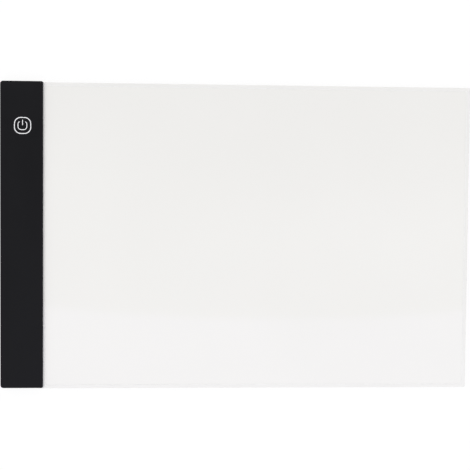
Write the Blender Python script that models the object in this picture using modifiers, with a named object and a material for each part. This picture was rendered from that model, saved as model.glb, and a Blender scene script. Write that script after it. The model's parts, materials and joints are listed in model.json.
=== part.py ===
"""LED tracing pad: a slim light panel held in a black control bar along one short side.

Units are metres. +Z points out of the tracing surface, X runs along the pad with the
bar at its -X end, and Y runs along the bar, with the supply socket in its +Y end.
The origin is on the table under the middle of the bar's length and of the pad's length; the
panel sits a little off the bar's middle, by PANEL_SHIFT.
"""
import math

import bmesh
import bpy
from mathutils import Matrix, Vector

# Outline of the pad
PAD_LENGTH = 0.2390
BAR_LENGTH = 0.1550
BAR_WIDTH = 0.02135
BAR_OUTER_CORNER = 0.0015
BAR_INNER_CORNER = 0.0008
BAR_EDGE_RADIUS = 0.0004
PANEL_INSET = 0.0001
PANEL_SHIFT = -0.0004
PANEL_CORNER = 0.0008
PANEL_EDGE_RADIUS = 0.0002

# Layers of the panel, from the back to the front
FOOT_PROUD = 0.0012
TRAY_FLOOR = 0.0006
REFLECTOR_THICKNESS = 0.00015
GUIDE_THICKNESS = 0.0018
DIFFUSER_THICKNESS = 0.00015
FRONT_THICKNESS = 0.0006
TAPE_THICKNESS = 0.0001
LAYER_GAP = 0.00005
RIM_WIDTH = 0.0016
LEDGE_WIDTH = 0.0012
RIM_SEAM = 0.00015
SHEET_CLEARANCE = 0.0003

# Rubber feet under the tray
FOOT_DIAMETER = 0.0080
FOOT_EDGE_RADIUS = 0.0004
FOOT_RECESS = 0.00025
FOOT_CLEARANCE = 0.0002
FOOT_INSET_X = 0.0105
FOOT_INSET_Y = 0.0115

# Two-part housing of the bar
BAR_ROOF = 0.0011
BAR_FLOOR = 0.0006
BAR_WALL = 0.0012
LIP_OVERLAP = 0.00285
LIP_GAP = 0.0001
SLOT_CLEARANCE = 0.0003
PARTING_GAP = 0.0001
TONGUE_INSET = 0.0007
TONGUE_HEIGHT = 0.0005
TONGUE_CLEARANCE = 0.00015
RIB_THICKNESS = 0.0008
RIB_HEIGHT = 0.0010
RIB_SPACING = 0.0180
RAIL_HEIGHT = 0.0012
SEAT_GAP = 0.0002

# Snap hooks along the bar's outer wall
HOOK_COUNT = 5
HOOK_WIDTH = 0.0040
HOOK_THICKNESS = 0.0007
HOOK_STANDOFF = 0.00015
HOOK_BARB = 0.00055
HOOK_LAND = 0.00015
HOOK_LEAD_IN = 0.0003
HOOK_ROOF_GAP = 0.0003
BARB_HEIGHT = 0.00045
POCKET_CLEARANCE = 0.0001
HOOK_END_INSET = 0.0115

# Screws, their bosses and posts
PLAIN_SCREW_COUNT = 3
SCREW_HEAD_DIAMETER = 0.0028
SCREW_HEAD_HEIGHT = 0.00055
SCREW_SHANK_DIAMETER = 0.0014
SCREW_LENGTH = 0.0038
SCREW_TIP = 0.0005
SCREW_CLEARANCE = 0.00015
PILOT_CLEARANCE = 0.00005
PILOT_SPARE = 0.0001
BOSS_DIAMETER = 0.0034
BOSS_OFFSET_X = 0.0034
BOSS_END_INSET = 0.0055
BOARD_SCREW_INSET = 0.0105

# Control board and its locating posts
BOARD_THICKNESS = 0.0008
BOARD_LENGTH = 0.0325
BOARD_CLEARANCE = 0.0003
BOARD_END_GAP = 0.0004
POST_DIAMETER = 0.0024
POST_INSET = 0.0017
PIN_DIAMETER = 0.0011
PIN_CLEARANCE = 0.00015
PIN_RISE = 0.0006
TOUCH_KEY_INSET = 0.0221
TOUCH_FOAM_DIAMETER = 0.0090
SOLDER_GAP = 0.00005

# Micro USB socket, sunk into a notch in the board
SOCKET_WIDTH = 0.0075
SOCKET_HEIGHT = 0.00245
SOCKET_DEPTH = 0.0056
SOCKET_WALL = 0.0003
SOCKET_CORNER = 0.0005
SOCKET_INNER_CORNER = 0.0001
SOCKET_CHAMFER = 0.0009
SOCKET_FLARE = 0.0003
SOCKET_FLARE_DEPTH = 0.0004
SOCKET_LIP_GAP = 0.0004
SOCKET_SETBACK = 0.0003
SOCKET_CLEARANCE = 0.00025
SOCKET_WINDOW_CORNER = 0.0005
SOCKET_EAR_LENGTH = 0.0012
SOCKET_EAR_WIDTH = 0.0014
SOCKET_EAR_THICKNESS = 0.00025
SOCKET_BASE_DEPTH = 0.0018
SOCKET_TONGUE_WIDTH = 0.0036
SOCKET_TONGUE_THICKNESS = 0.0006
SOCKET_TONGUE_SETBACK = 0.0009
SOCKET_TONGUE_RISE = 0.0002

# Strip of side-firing LEDs against the edge of the light guide
LED_COUNT = 24
LED_LENGTH = 0.0030
LED_HEIGHT = 0.0014
LED_DEPTH = 0.0008
LED_FRAME = 0.0002
LED_WINDOW_DEPTH = 0.00015
LED_GUIDE_GAP = 0.00015
LED_END_INSET = 0.0060
STRIP_THICKNESS = 0.0006
STRIP_HEIGHT = 0.0032
STRIP_END_INSET = 0.0018

# Leads from the control board to the LED strip
WIRE_DIAMETER = 0.0007
WIRE_PITCH = 0.0016
WIRE_START_INSET = 0.0014
WIRE_RUN = 0.0095
WIRE_LOOP = 0.0040

# Small parts on the underside of the board, on a grid of places: length, width and height
GRID_ROWS = 6
GRID_COLUMNS = 5
TOUCH_CHIP_SIZE = (0.0029, 0.0016, 0.0011)
TRANSISTOR_SIZE = (0.0029, 0.0013, 0.0010)
LARGE_CHIP_SIZE = (0.0032, 0.0016, 0.0006)
CAPACITOR_SIZE = (0.0032, 0.0016, 0.0012)
SMALL_CHIP_SIZE = (0.0016, 0.0008, 0.0008)
LEG_WIDTH = 0.0004
LEG_LENGTH = 0.0006
LEG_THICKNESS = 0.0002
CHIP_BEVEL = 0.0001
END_CAP_LENGTH = 0.0005
END_CAP_STEP = 0.00004

# Everything that cuts runs this far past what it cuts, and everything fused starts as deep inside
OVERRUN = 0.0005
ROOT = 0.0002
WELD_DISTANCE = 0.000002

# Facets
CORNER_SEGMENTS = 6
EDGE_SEGMENTS = 3
ROUND_SEGMENTS = 32
SMALL_ROUND_SEGMENTS = 20
WIRE_POINTS = 14
SMOOTH_ANGLE = math.radians(35)
FLAT_ANGLE = math.radians(8)
ROUND_PROFILE_SHARE = 0.5

# Places across the pad
BAR_OUTER_X = -PAD_LENGTH / 2
BAR_INNER_X = BAR_OUTER_X + BAR_WIDTH
BAR_MIDDLE_X = BAR_OUTER_X + BAR_WIDTH / 2
FAR_X = PAD_LENGTH / 2
STACK_X = BAR_INNER_X - LIP_OVERLAP
SLOT_X = STACK_X - SLOT_CLEARANCE
WALL_X = BAR_OUTER_X + BAR_WALL
LED_FRONT_X = STACK_X - LED_GUIDE_GAP
LED_BACK_X = LED_FRONT_X - LED_DEPTH
STRIP_FRONT_X = LED_BACK_X - SOLDER_GAP
STRIP_BACK_X = STRIP_FRONT_X - STRIP_THICKNESS
HOOK_OUTER_X = WALL_X + HOOK_STANDOFF
HOOK_INNER_X = HOOK_OUTER_X + HOOK_THICKNESS
BOARD_X = (HOOK_INNER_X + BOARD_CLEARANCE, STRIP_BACK_X - BOARD_CLEARANCE)
RAIL_X = (STRIP_BACK_X - SEAT_GAP - RIB_THICKNESS, STRIP_BACK_X - SEAT_GAP)
BOSS_X = WALL_X + BOSS_OFFSET_X

# Places along the bar
HALF_BAR = BAR_LENGTH / 2
HALF_CHAMBER = HALF_BAR - BAR_WALL
HALF_PANEL = HALF_BAR - PANEL_INSET
BOARD_Y = (HALF_CHAMBER - BOARD_END_GAP - BOARD_LENGTH, HALF_CHAMBER - BOARD_END_GAP)
TOUCH_Y = HALF_BAR - TOUCH_KEY_INSET
SOCKET_Y = (HALF_BAR - SOCKET_SETBACK - SOCKET_DEPTH, HALF_BAR - SOCKET_SETBACK)
SOCKET_NOTCH_Y = SOCKET_Y[0] - SOCKET_CLEARANCE

# Heights
TRAY_Z = FOOT_PROUD
REFLECTOR_Z = TRAY_Z + TRAY_FLOOR + LAYER_GAP
GUIDE_Z = REFLECTOR_Z + REFLECTOR_THICKNESS + LAYER_GAP
DIFFUSER_Z = GUIDE_Z + GUIDE_THICKNESS + LAYER_GAP
FRONT_Z = DIFFUSER_Z + DIFFUSER_THICKNESS + LAYER_GAP
PANEL_TOP_Z = FRONT_Z + FRONT_THICKNESS
TAPE_Z = FRONT_Z - LAYER_GAP - TAPE_THICKNESS
LEDGE_Z = TAPE_Z - LAYER_GAP
ROOF_Z = PANEL_TOP_Z + LIP_GAP
BAR_TOP_Z = ROOF_Z + BAR_ROOF
FLOOR_Z = TRAY_Z - LIP_GAP
BAR_BOTTOM_Z = FLOOR_Z - BAR_FLOOR
MIDDLE_Z = (FLOOR_Z + ROOF_Z) / 2
PARTING_Z = (MIDDLE_Z - PARTING_GAP / 2, MIDDLE_Z + PARTING_GAP / 2)
BOARD_Z = (MIDDLE_Z - BOARD_THICKNESS / 2, MIDDLE_Z + BOARD_THICKNESS / 2)
HOOK_TOP_Z = ROOF_Z - HOOK_ROOF_GAP
BARB_Z = HOOK_TOP_Z - BARB_HEIGHT


def new_collection(name):
    collection = bpy.data.collections.new(name)
    bpy.context.scene.collection.children.link(collection)
    return collection


def make_material(name, colour, roughness, metallic=0.0, transmission=0.0):
    material = bpy.data.materials.new(name)
    material.use_nodes = True
    shader = material.node_tree.nodes["Principled BSDF"]
    shader.inputs["Base Color"].default_value = (*colour, 1.0)
    shader.inputs["Roughness"].default_value = roughness
    shader.inputs["Metallic"].default_value = metallic
    shader.inputs["Transmission Weight"].default_value = transmission
    return material


def centre_of(span):
    return (span[0] + span[1]) / 2


def around(middle, size):
    """Span of the given size about a middle."""
    return (middle - size / 2, middle + size / 2)


def evenly(low, high, count):
    """Places from low to high with equal steps."""
    return [low + (high - low) * index / (count - 1) for index in range(count)]


def place_object(name, data, collection, material=None):
    item = bpy.data.objects.new(name, data)
    collection.objects.link(item)
    if material is not None:
        data.materials.clear()
        data.materials.append(material)
    return item


def mesh_object(name, bm, collection, material=None):
    """Turn a bmesh into an object, shaded smooth but for its sharp edges."""
    mesh = bpy.data.meshes.new(name)
    bm.to_mesh(mesh)
    bm.free()
    mesh.shade_smooth()
    mesh.set_sharp_from_angle(angle=SMOOTH_ANGLE)
    return place_object(name, mesh, collection, material)


def smooth_by_angle_group():
    """Geometry nodes that keep edges sharp where two faces meet at more than SMOOTH_ANGLE."""
    group = bpy.data.node_groups.new("smooth_by_angle", "GeometryNodeTree")
    group.interface.new_socket("Geometry", in_out="INPUT", socket_type="NodeSocketGeometry")
    group.interface.new_socket("Geometry", in_out="OUTPUT", socket_type="NodeSocketGeometry")
    start = group.nodes.new("NodeGroupInput")
    angle = group.nodes.new("GeometryNodeInputMeshEdgeAngle")
    flat_enough = group.nodes.new("FunctionNodeCompare")
    flat_enough.data_type = "FLOAT"
    flat_enough.operation = "LESS_EQUAL"
    flat_enough.inputs["B"].default_value = SMOOTH_ANGLE
    shade = group.nodes.new("GeometryNodeSetShadeSmooth")
    shade.domain = "EDGE"
    end = group.nodes.new("NodeGroupOutput")
    group.links.new(start.outputs["Geometry"], shade.inputs["Geometry"])
    group.links.new(angle.outputs["Unsigned Angle"], flat_enough.inputs["A"])
    group.links.new(flat_enough.outputs["Result"], shade.inputs["Shade Smooth"])
    group.links.new(shade.outputs["Geometry"], end.inputs["Geometry"])
    return group


def shade_after_cuts(item):
    """Last modifier of a piece made by cuts: its new edges shade as sharp as they are."""
    name = "smooth_by_angle"
    group = bpy.data.node_groups.get(name) or smooth_by_angle_group()
    item.modifiers.new(name, "NODES").node_group = group


def as_tool(item):
    """Mark an object as one that only shapes others."""
    item.hide_render = True
    item.display_type = "WIRE"
    return item


def combine(target, tool, operation):
    modifier = target.modifiers.new(f"{operation.lower()}_{tool.name}", "BOOLEAN")
    modifier.operation = operation
    modifier.solver = "EXACT"
    modifier.object = tool


def cut(target, tool):
    combine(target, tool, "DIFFERENCE")


def fuse(target, tool):
    combine(target, tool, "UNION")


def add_box(bm, x, y, z):
    """Add a box between three spans and return its corners."""
    middle = Vector((centre_of(x), centre_of(y), centre_of(z)))
    size = Vector((x[1] - x[0], y[1] - y[0], z[1] - z[0]))
    placed = Matrix.Translation(middle) @ Matrix.Diagonal(size.to_4d())
    return bmesh.ops.create_cube(bm, size=1, matrix=placed)["verts"]


def add_rod(bm, x, y, z, diameter, end_diameter=None, segments=SMALL_ROUND_SEGMENTS):
    """Add an upright rod or cone over the span z."""
    top = diameter if end_diameter is None else end_diameter
    bmesh.ops.create_cone(
        bm,
        cap_ends=True,
        segments=segments,
        radius1=diameter / 2,
        radius2=top / 2,
        depth=z[1] - z[0],
        matrix=Matrix.Translation((x, y, centre_of(z))),
    )


def round_edges(bm, edges, radius, segments):
    if radius > 0:
        bmesh.ops.bevel(
            bm,
            geom=list(edges),
            offset=radius,
            offset_type="OFFSET",
            segments=segments,
            profile=ROUND_PROFILE_SHARE,
            affect="EDGES",
            clamp_overlap=True,
        )


def upright_edges(bm, side, middle):
    """Upright edges on one side of the middle, in X."""
    chosen = []
    for edge in bm.edges:
        first, second = (vert.co for vert in edge.verts)
        upright = (first - second).to_2d().length < (first - second).length / 2
        if upright and (first.x - middle) * side > 0:
            chosen.append(edge)
    return chosen


def rim_edges(bm, faces_up):
    """Edges round the flat top or bottom face."""
    flat = [face for face in bm.faces if face.normal.z * faces_up > math.cos(FLAT_ANGLE)]
    return {edge for face in flat for edge in face.edges}


def rounded_block(x, y, z, near=0.0, far=0.0, top=0.0, bottom=0.0):
    """Box with plan corners of radius near at its -X side and far at its +X side."""
    bm = bmesh.new()
    add_box(bm, x, y, z)
    round_edges(bm, upright_edges(bm, -1, centre_of(x)), near, CORNER_SEGMENTS)
    round_edges(bm, upright_edges(bm, 1, centre_of(x)), far, CORNER_SEGMENTS)
    bm.normal_update()
    round_edges(bm, rim_edges(bm, 1), top, EDGE_SEGMENTS)
    bm.normal_update()
    round_edges(bm, rim_edges(bm, -1), bottom, EDGE_SEGMENTS)
    return bm


def arc(centre, radius, start, end, steps):
    """Points on an arc, angles in quarter turns."""
    points = []
    for step in range(steps + 1):
        angle = math.radians(90) * (start + (end - start) * step / steps)
        points.append((centre[0] + radius * math.cos(angle), centre[1] + radius * math.sin(angle)))
    return points


def circle(centre, diameter, steps):
    return arc(centre, diameter / 2, 0, 4, steps)[:-1]


def outline_object(name, outlines, thickness, collection, material=None):
    """Flat outline with holes, filled and thickened both ways from its own plane."""
    curve = bpy.data.curves.new(name, "CURVE")
    curve.dimensions = "2D"
    curve.fill_mode = "BOTH"
    curve.extrude = thickness / 2
    for points in outlines:
        spline = curve.splines.new("POLY")
        spline.points.add(len(points) - 1)
        for spot, (across, along) in zip(spline.points, points):
            spot.co = (across, along, 0, 1)
        spline.use_cyclic_u = True
    return place_object(name, curve, collection, material)


def evaluated_bmesh(item):
    """The object's evaluated shape as a welded bmesh in world space; the object is removed."""
    bpy.context.view_layer.update()
    graph = bpy.context.evaluated_depsgraph_get()
    mesh = bpy.data.meshes.new_from_object(item.evaluated_get(graph))
    bm = bmesh.new()
    bm.from_mesh(mesh)
    bm.transform(item.matrix_world)
    bmesh.ops.remove_doubles(bm, verts=bm.verts, dist=WELD_DISTANCE)
    bmesh.ops.recalc_face_normals(bm, faces=bm.faces)
    bpy.data.meshes.remove(mesh)
    bpy.data.objects.remove(item, do_unlink=True)
    return bm


def copies_of(bm, offsets):
    """One bmesh with a copy of another at each offset."""
    source = bpy.data.meshes.new("pattern")
    bm.to_mesh(source)
    bm.free()
    result = bmesh.new()
    for offset in offsets:
        before = set(result.verts)
        result.from_mesh(source)
        added = [vert for vert in result.verts if vert not in before]
        bmesh.ops.translate(result, verts=added, vec=offset)
    bpy.data.meshes.remove(source)
    return result


def turned_object(name, profile, segments, collection, material):
    """Solid of revolution about Z; the profile runs from the top down its outer side."""
    mesh = bpy.data.meshes.new(name)
    mesh.from_pydata([(radius, 0, height) for radius, height in profile],
                     [(index, index + 1) for index in range(len(profile) - 1)], [])
    item = place_object(name, mesh, collection, material)
    screw = item.modifiers.new("turn", "SCREW")
    screw.axis = "Z"
    screw.steps = segments
    screw.render_steps = segments
    screw.use_merge_vertices = True
    screw.merge_threshold = WELD_DISTANCE
    screw.use_smooth_shade = True
    return item


def screw_places():
    """Screw positions along the bar, each with whether it passes through the control board."""
    low = -HALF_CHAMBER + BOSS_END_INSET
    high = BOARD_Y[0] - BOSS_END_INSET
    plain = [(y, False) for y in evenly(low, high, PLAIN_SCREW_COUNT)]
    return plain + [(HALF_BAR - BOARD_SCREW_INSET, True)]


def hook_places():
    reach = HALF_CHAMBER - HOOK_END_INSET
    return evenly(-reach, reach, HOOK_COUNT)


def rib_places():
    """Cross ribs between the bar's far end and the board, in equal steps."""
    low = -HALF_CHAMBER + RIB_SPACING / 2
    high = BOARD_Y[0] - RIB_SPACING / 2
    count = max(2, round((high - low) / RIB_SPACING) + 1)
    return evenly(low, high, count)


def post_places():
    """Posts under the board, the first two with locating pins; its screw boss is the fourth."""
    x_low = BOARD_X[0] + POST_INSET
    x_high = BOARD_X[1] - POST_INSET
    y_low = BOARD_Y[0] + POST_INSET
    y_high = SOCKET_NOTCH_Y - POST_INSET
    return [(x_low, y_low), (x_high, y_high), (x_high, y_low)]


def socket_window(cutters):
    """Opening round the socket's flared mouth, shared by both halves of the housing."""
    room = SOCKET_FLARE + SOCKET_CLEARANCE
    width = SOCKET_WIDTH + 2 * room
    height = SOCKET_HEIGHT + 2 * room
    bm = bmesh.new()
    add_box(
        bm,
        around(BAR_MIDDLE_X, width),
        (HALF_CHAMBER - OVERRUN, HALF_BAR + OVERRUN),
        around(MIDDLE_Z, height),
    )
    along = [edge for edge in bm.edges if abs(edge.verts[0].co.y - edge.verts[1].co.y) > BAR_WALL]
    round_edges(bm, along, SOCKET_WINDOW_CORNER, EDGE_SEGMENTS)
    return as_tool(mesh_object("socket_window", bm, cutters))


def chamber_block(z, spare=0.0, end=BAR_INNER_X + OVERRUN):
    """Space inside the bar's walls, grown by spare, that reaches end on the panel's side."""
    corner = max(BAR_OUTER_CORNER - BAR_WALL, 0) + spare
    return rounded_block(
        (WALL_X - spare, end),
        (-HALF_CHAMBER - spare, HALF_CHAMBER + spare),
        z,
        near=corner,
    )


def panel_slot(z):
    """Space that the panel slides into, open at both ends of the bar."""
    bm = bmesh.new()
    add_box(bm, (SLOT_X, BAR_INNER_X + OVERRUN), (-HALF_BAR - OVERRUN, HALF_BAR + OVERRUN), z)
    return bm


def build_top_cover(parts, cutters, window, material):
    """Upper half of the housing: roof with a lip over the panel, walls, bosses, rail and catches."""
    cover = mesh_object(
        "bar_top_cover",
        rounded_block(
            (BAR_OUTER_X, BAR_INNER_X),
            (-HALF_BAR, HALF_BAR),
            (PARTING_Z[1], BAR_TOP_Z),
            near=BAR_OUTER_CORNER,
            far=BAR_INNER_CORNER,
            top=BAR_EDGE_RADIUS,
        ),
        parts,
        material,
    )
    below = PARTING_Z[1] - OVERRUN
    cavity = as_tool(mesh_object("top_cavity", chamber_block((below, ROOF_Z)), cutters))
    slot = as_tool(mesh_object("top_slot", panel_slot((below, ROOF_Z)), cutters))
    rebate_top = PARTING_Z[0] + TONGUE_HEIGHT + TONGUE_CLEARANCE
    spare = BAR_WALL - TONGUE_INSET + TONGUE_CLEARANCE
    rebate = as_tool(mesh_object("tongue_rebate", chamber_block((below, rebate_top), spare), cutters))
    for tool in (cavity, slot, rebate):
        cut(cover, tool)

    bm = bmesh.new()
    for y, through_board in screw_places():
        end = BOARD_Z[1] + SEAT_GAP if through_board else BOARD_Z[0]
        add_rod(bm, BOSS_X, y, (end, ROOF_Z + ROOT), BOSS_DIAMETER)
    fuse(cover, as_tool(mesh_object("screw_bosses", bm, cutters)))

    bm = bmesh.new()
    add_box(bm, RAIL_X, (-HALF_CHAMBER - ROOT, BOARD_Y[0]), (ROOF_Z - RAIL_HEIGHT, ROOF_Z + ROOT))
    fuse(cover, as_tool(mesh_object("upper_rail", bm, cutters)))

    bm = bmesh.new()
    for y in rib_places():
        add_box(bm, (HOOK_INNER_X + SEAT_GAP, RAIL_X[0] + ROOT), around(y, RIB_THICKNESS),
                (ROOF_Z - RIB_HEIGHT, ROOF_Z + ROOT))
    fuse(cover, as_tool(mesh_object("upper_ribs", bm, cutters)))

    bm = bmesh.new()
    pilot_top = BAR_BOTTOM_Z + SCREW_LENGTH + PILOT_SPARE
    for y, _ in screw_places():
        add_rod(bm, BOSS_X, y, (FLOOR_Z, pilot_top), SCREW_SHANK_DIAMETER + 2 * PILOT_CLEARANCE)
    cut(cover, as_tool(mesh_object("pilot_holes", bm, cutters)))

    bm = bmesh.new()
    barb_tip = HOOK_OUTER_X - HOOK_BARB
    for y in hook_places():
        add_box(bm, (barb_tip - POCKET_CLEARANCE, HOOK_INNER_X + POCKET_CLEARANCE),
                around(y, HOOK_WIDTH + 2 * POCKET_CLEARANCE),
                (BARB_Z - POCKET_CLEARANCE, HOOK_TOP_Z + POCKET_CLEARANCE))
    cut(cover, as_tool(mesh_object("hook_pockets", bm, cutters)))
    cut(cover, window)
    shade_after_cuts(cover)


def hook_outline():
    """Side view of a snap hook: an upright arm with a barb and a sloping lead-in."""
    return [
        (HOOK_OUTER_X, FLOOR_Z - ROOT),
        (HOOK_INNER_X, FLOOR_Z - ROOT),
        (HOOK_INNER_X, HOOK_TOP_Z),
        (HOOK_INNER_X - HOOK_LEAD_IN, HOOK_TOP_Z),
        (HOOK_OUTER_X - HOOK_BARB, BARB_Z + HOOK_LAND),
        (HOOK_OUTER_X - HOOK_BARB, BARB_Z),
        (HOOK_OUTER_X, BARB_Z),
    ]


def build_bottom_cover(parts, cutters, window, material):
    """Lower half of the housing: floor with a lip under the panel, tongue, ribs, posts and hooks."""
    cover = mesh_object(
        "bar_bottom_cover",
        rounded_block(
            (BAR_OUTER_X, BAR_INNER_X),
            (-HALF_BAR, HALF_BAR),
            (BAR_BOTTOM_Z, PARTING_Z[0]),
            near=BAR_OUTER_CORNER,
            far=BAR_INNER_CORNER,
            bottom=BAR_EDGE_RADIUS,
        ),
        parts,
        material,
    )
    tongue_span = (MIDDLE_Z - TONGUE_HEIGHT, PARTING_Z[0] + TONGUE_HEIGHT)
    tongue = chamber_block(tongue_span, BAR_WALL - TONGUE_INSET, BAR_INNER_X - OVERRUN)
    fuse(cover, as_tool(mesh_object("tongue", tongue, cutters)))
    above = PARTING_Z[0] + TONGUE_HEIGHT + OVERRUN
    cavity = as_tool(mesh_object("bottom_cavity", chamber_block((FLOOR_Z, above)), cutters))
    slot = as_tool(mesh_object("bottom_slot", panel_slot((FLOOR_Z, above)), cutters))
    cut(cover, cavity)
    cut(cover, slot)

    bm = bmesh.new()
    add_box(bm, RAIL_X, (-HALF_CHAMBER - ROOT, BOARD_Y[0]), (FLOOR_Z - ROOT, FLOOR_Z + RAIL_HEIGHT))
    fuse(cover, as_tool(mesh_object("lower_rail", bm, cutters)))

    bm = bmesh.new()
    for y in rib_places():
        add_box(bm, (HOOK_INNER_X + SEAT_GAP, RAIL_X[0] + ROOT), around(y, RIB_THICKNESS),
                (FLOOR_Z - ROOT, FLOOR_Z + RIB_HEIGHT))
    fuse(cover, as_tool(mesh_object("lower_ribs", bm, cutters)))

    bm = bmesh.new()
    for x, y in post_places():
        add_rod(bm, x, y, (FLOOR_Z - ROOT, BOARD_Z[0] - SEAT_GAP), POST_DIAMETER)
    for y, _ in screw_places():
        add_rod(bm, BOSS_X, y, (FLOOR_Z - ROOT, BOARD_Z[0] - SEAT_GAP), BOSS_DIAMETER)
    fuse(cover, as_tool(mesh_object("posts", bm, cutters)))

    bm = bmesh.new()
    for x, y in post_places()[:2]:
        add_rod(bm, x, y, (FLOOR_Z, BOARD_Z[1] + PIN_RISE), PIN_DIAMETER)
    fuse(cover, as_tool(mesh_object("locating_pins", bm, cutters)))

    bm = bmesh.new()
    clear = SCREW_SHANK_DIAMETER + 2 * SCREW_CLEARANCE
    for y, _ in screw_places():
        add_rod(bm, BOSS_X, y, (BAR_BOTTOM_Z - OVERRUN, BOARD_Z[1]), clear)
    cut(cover, as_tool(mesh_object("screw_holes", bm, cutters)))

    bm = bmesh.new()
    mouth = SCREW_HEAD_DIAMETER + 2 * SCREW_CLEARANCE
    slope = (SCREW_HEAD_DIAMETER - SCREW_SHANK_DIAMETER) / SCREW_HEAD_HEIGHT
    depth = (mouth - clear) / slope
    for y, _ in screw_places():
        add_rod(bm, BOSS_X, y, (BAR_BOTTOM_Z - OVERRUN, BAR_BOTTOM_Z + depth),
                mouth + slope * OVERRUN, clear)
    cut(cover, as_tool(mesh_object("countersinks", bm, cutters)))

    curve = outline_object("hook_outline", [hook_outline()], HOOK_WIDTH, cutters)
    curve.rotation_euler = (math.radians(90), 0, 0)
    hooks = copies_of(evaluated_bmesh(curve), [Vector((0, y, 0)) for y in hook_places()])
    fuse(cover, as_tool(mesh_object("snap_hooks", hooks, cutters)))
    cut(cover, window)
    shade_after_cuts(cover)


def across_panel(inset=0.0):
    """Span from one long edge of the panel to the other, drawn in at both by inset."""
    return (PANEL_SHIFT - HALF_PANEL + inset, PANEL_SHIFT + HALF_PANEL - inset)


def foot_places():
    """Feet near the panel's corners, the two beside the bar first."""
    spots_x = (BAR_INNER_X + FOOT_INSET_X, FAR_X - FOOT_INSET_X)
    return [(x, y) for x in spots_x for y in across_panel(FOOT_INSET_Y)]


def build_tray(parts, cutters, material):
    """White tray: a thin floor, a rim on three sides and a ledge that carries the front sheet."""
    tray = mesh_object(
        "rear_tray",
        rounded_block(
            (STACK_X, FAR_X),
            across_panel(),
            (TRAY_Z, PANEL_TOP_Z),
            far=PANEL_CORNER,
            top=PANEL_EDGE_RADIUS,
            bottom=PANEL_EDGE_RADIUS,
        ),
        parts,
        material,
    )
    wall = RIM_WIDTH + LEDGE_WIDTH
    bm = bmesh.new()
    add_box(bm, (STACK_X - OVERRUN, FAR_X - wall), across_panel(wall),
            (TRAY_Z + TRAY_FLOOR, PANEL_TOP_Z + OVERRUN))
    cut(tray, as_tool(mesh_object("sheet_space", bm, cutters)))
    front_space = rounded_block(
        (STACK_X - OVERRUN, FAR_X - RIM_WIDTH),
        across_panel(RIM_WIDTH),
        (LEDGE_Z, PANEL_TOP_Z + OVERRUN),
        far=PANEL_CORNER,
    )
    cut(tray, as_tool(mesh_object("front_space", front_space, cutters)))
    bm = bmesh.new()
    for x, y in foot_places():
        add_rod(bm, x, y, (TRAY_Z - OVERRUN, TRAY_Z + FOOT_RECESS),
                FOOT_DIAMETER + 2 * FOOT_CLEARANCE, segments=ROUND_SEGMENTS)
    cut(tray, as_tool(mesh_object("foot_recesses", bm, cutters)))
    shade_after_cuts(tray)


def build_sheets(parts, materials):
    """The sheets inside the tray, and the front sheet on its ledge."""
    inset = RIM_WIDTH + LEDGE_WIDTH + SHEET_CLEARANCE
    sheets = (
        ("reflector_film", REFLECTOR_Z, REFLECTOR_THICKNESS, "reflector"),
        ("light_guide", GUIDE_Z, GUIDE_THICKNESS, "guide"),
        ("diffuser_film", DIFFUSER_Z, DIFFUSER_THICKNESS, "diffuser"),
    )
    for name, height, thickness, look in sheets:
        bm = rounded_block((STACK_X, FAR_X - inset), across_panel(inset), (height, height + thickness))
        mesh_object(name, bm, parts, materials[look])
    inset = RIM_WIDTH + RIM_SEAM
    bm = rounded_block(
        (STACK_X, FAR_X - inset),
        across_panel(inset),
        (FRONT_Z, PANEL_TOP_Z),
        far=PANEL_CORNER,
        top=PANEL_EDGE_RADIUS / 2,
    )
    mesh_object("front_panel", bm, parts, materials["front"])


def build_tape(parts, material):
    """Adhesive tape on the tray's ledge, in one U-shaped piece."""
    outer = RIM_WIDTH + RIM_SEAM
    inner = RIM_WIDTH + LEDGE_WIDTH
    outer_y = across_panel(outer)
    inner_y = across_panel(inner)
    points = [
        (STACK_X, outer_y[0]),
        (FAR_X - outer, outer_y[0]),
        (FAR_X - outer, outer_y[1]),
        (STACK_X, outer_y[1]),
        (STACK_X, inner_y[1]),
        (FAR_X - inner, inner_y[1]),
        (FAR_X - inner, inner_y[0]),
        (STACK_X, inner_y[0]),
    ]
    tape = outline_object("front_tape", [points], TAPE_THICKNESS, parts, material)
    tape.location = (0, 0, TAPE_Z + TAPE_THICKNESS / 2)


def build_feet(parts, material):
    """Self-adhesive rubber feet, turned with a rounded lower edge."""
    top = TRAY_Z + FOOT_RECESS - LAYER_GAP
    radius = FOOT_DIAMETER / 2
    lower = arc((radius - FOOT_EDGE_RADIUS, FOOT_EDGE_RADIUS), FOOT_EDGE_RADIUS, 0, -1, EDGE_SEGMENTS)
    profile = [(0, top), (radius, top), *lower, (0, 0)]
    for number, (x, y) in enumerate(foot_places(), 1):
        foot = turned_object(f"foot_{number}", profile, ROUND_SEGMENTS, parts, material)
        foot.location = (x, y, 0)


def build_screws(parts, material):
    """Countersunk screws, flush with the back of the bar."""
    head = SCREW_HEAD_DIAMETER / 2
    shank = SCREW_SHANK_DIAMETER / 2
    profile = [
        (0, SCREW_LENGTH),
        (shank / 2, SCREW_LENGTH),
        (shank, SCREW_LENGTH - SCREW_TIP),
        (shank, SCREW_HEAD_HEIGHT),
        (head, 0),
        (0, 0),
    ]
    for number, (y, _) in enumerate(screw_places(), 1):
        screw = turned_object(f"bar_screw_{number}", profile, SMALL_ROUND_SEGMENTS, parts, material)
        screw.location = (BOSS_X, y, BAR_BOTTOM_Z)


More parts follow.
